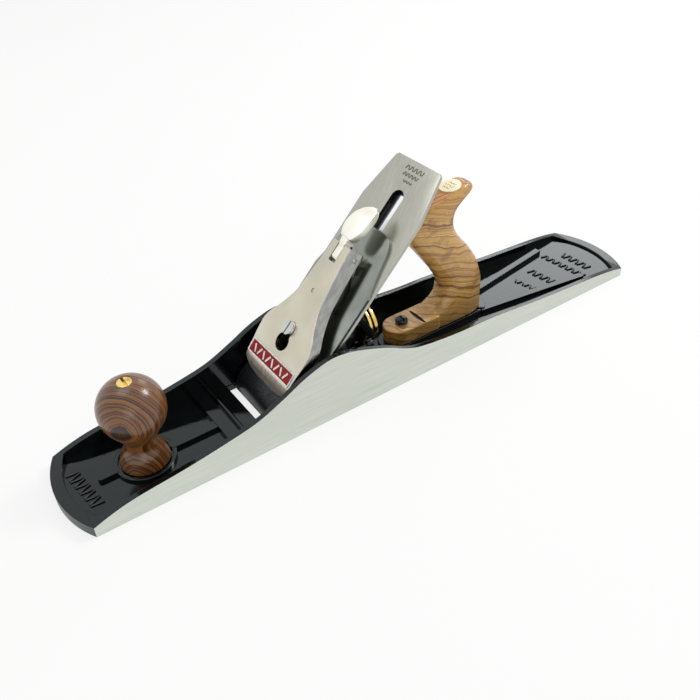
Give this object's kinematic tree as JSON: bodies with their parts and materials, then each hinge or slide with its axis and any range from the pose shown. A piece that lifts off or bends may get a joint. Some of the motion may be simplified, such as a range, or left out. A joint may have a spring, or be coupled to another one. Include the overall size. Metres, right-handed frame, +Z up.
{
  "type": "fore plane",
  "caption": "Long metal bench plane with turned front knob, shaped rear tote, bedded double iron, cam lever cap, screw depth wheel, lateral lever and screw-set frog.",
  "frame": {"origin": "middle of the underside of the sole", "axes": "+X along the sole from toe to heel, +Y across the sole, +Z up"},
  "size_m": [0.457, 0.072, 0.1374],
  "materials": {
    "enamelled_casting": "gloss black enamel with ground cheeks and sole",
    "frog_iron": "black enamel, ground bed",
    "steel_fastener": "satin",
    "brass": "polished",
    "iron_steel": "ground",
    "cap_steel": "ground, darker",
    "lever_cap_metal": "satin plated",
    "cam_plate": "polished plated",
    "knob_wood": "lacquered dark figured hardwood",
    "tote_wood": "lacquered light hardwood",
    "black_screw": "black oxide",
    "label_paper": "printed paper label"
  },
  "bodies": {
    "stock": {"plane_body": "enamelled_casting", "frog_clamp_screws": "steel_fastener", "frog_clamp_washers": "steel_fastener", "knob": "knob_wood", "knob_bolt": "steel_fastener", "knob_nut": "brass", "tote": "tote_wood", "tote_bolt": "steel_fastener", "tote_nut": "brass", "tote_toe_screw": "black_screw", "tote_label": "label_paper"},
    "frog": {"frog": "frog_iron", "frog_adjusting_clip": "steel_fastener", "frog_clip_screw": "steel_fastener", "y_lever_pin": "steel_fastener", "lateral_rivet": "steel_fastener", "lever_cap_screw": "steel_fastener"},
    "frog_screw": {"frog_adjusting_screw": "steel_fastener"},
    "depth_stud": {"depth_stud": "steel_fastener"},
    "depth_wheel": {"depth_wheel": "brass"},
    "y_lever": {"y_lever": "frog_iron"},
    "lateral_lever": {"lateral_lever": "steel_fastener", "lateral_roller": "steel_fastener"},
    "iron_clamp": {"cap_iron_screw": "steel_fastener"},
    "iron": {"cutting_iron": "iron_steel", "cap_iron": "cap_steel"},
    "lever_cap": {"lever_cap": "lever_cap_metal", "lever_cap_spring": "cap_steel", "spring_rivet": "steel_fastener", "cam_pin": "steel_fastener"},
    "cam_lever": {"cam_lever": "cam_plate"}
  },
  "joints": [
    {"name": "frog_slide", "type": "slide", "parent": "stock", "child": "frog", "axis": [1, 0, 0], "range_m": [-0.0015, 0.0015]},
    {"name": "frog_screw_turn", "type": "hinge", "parent": "frog", "child": "frog_screw", "pos_m": [-0.02, 0, 0.014], "axis": [1, 0, 0], "range_deg": [-515, 515]},
    {"name": "stud_travel", "type": "slide", "parent": "frog", "child": "depth_stud", "axis": [1, 0, 0], "range_m": [-0.0016, 0.0047]},
    {"name": "depth_wheel_turn", "type": "hinge", "parent": "depth_stud", "child": "depth_wheel", "pos_m": [0, 0, 0.036], "axis": [-1, 0, 0], "range_deg": [-515, 1540]},
    {"name": "y_lever_swing", "type": "hinge", "parent": "frog", "child": "y_lever", "pos_m": [-0.02147, 0, 0.06004], "axis": [0, -1, 0], "range_deg": [-3.8, 11.3]},
    {"name": "iron_slide", "type": "slide", "parent": "frog", "child": "iron_clamp", "axis": [-0.7071, 0, -0.7071], "range_m": [-0.0006, 0.0018]},
    {"name": "lateral_lever_swing", "type": "hinge", "parent": "frog", "child": "lateral_lever", "pos_m": [-0.01009, 0, 0.07991], "axis": [-0.7071, 0, 0.7071], "range_deg": [-7, 7]},
    {"name": "iron_skew", "type": "hinge", "parent": "iron_clamp", "child": "iron", "pos_m": [-0.03618, 0, 0.05382], "axis": [-0.7071, 0, 0.7071], "range_deg": [-0.8, 0.8]},
    {"name": "lever_cap_slide", "type": "slide", "parent": "frog", "child": "lever_cap", "axis": [0.7071, 0, 0.7071], "range_m": [0, 0.01]},
    {"name": "cam_lever_swing", "type": "hinge", "parent": "lever_cap", "child": "cam_lever", "pos_m": [-0.01632, 0, 0.09362], "axis": [0, -1, 0], "range_deg": [0, 90]}
  ],
  "couplings": [
    {"joint": "frog_screw_turn", "follows": "frog_slide", "rad_per_m": 5934.7},
    {"joint": "stud_travel", "follows": "iron_slide", "ratio": 2.505},
    {"joint": "y_lever_swing", "follows": "iron_slide", "rad_per_m": 107.53},
    {"joint": "depth_wheel_turn", "follows": "iron_slide", "rad_per_m": 14850},
    {"joint": "iron_skew", "follows": "lateral_lever_swing", "ratio": -0.1}
  ]
}
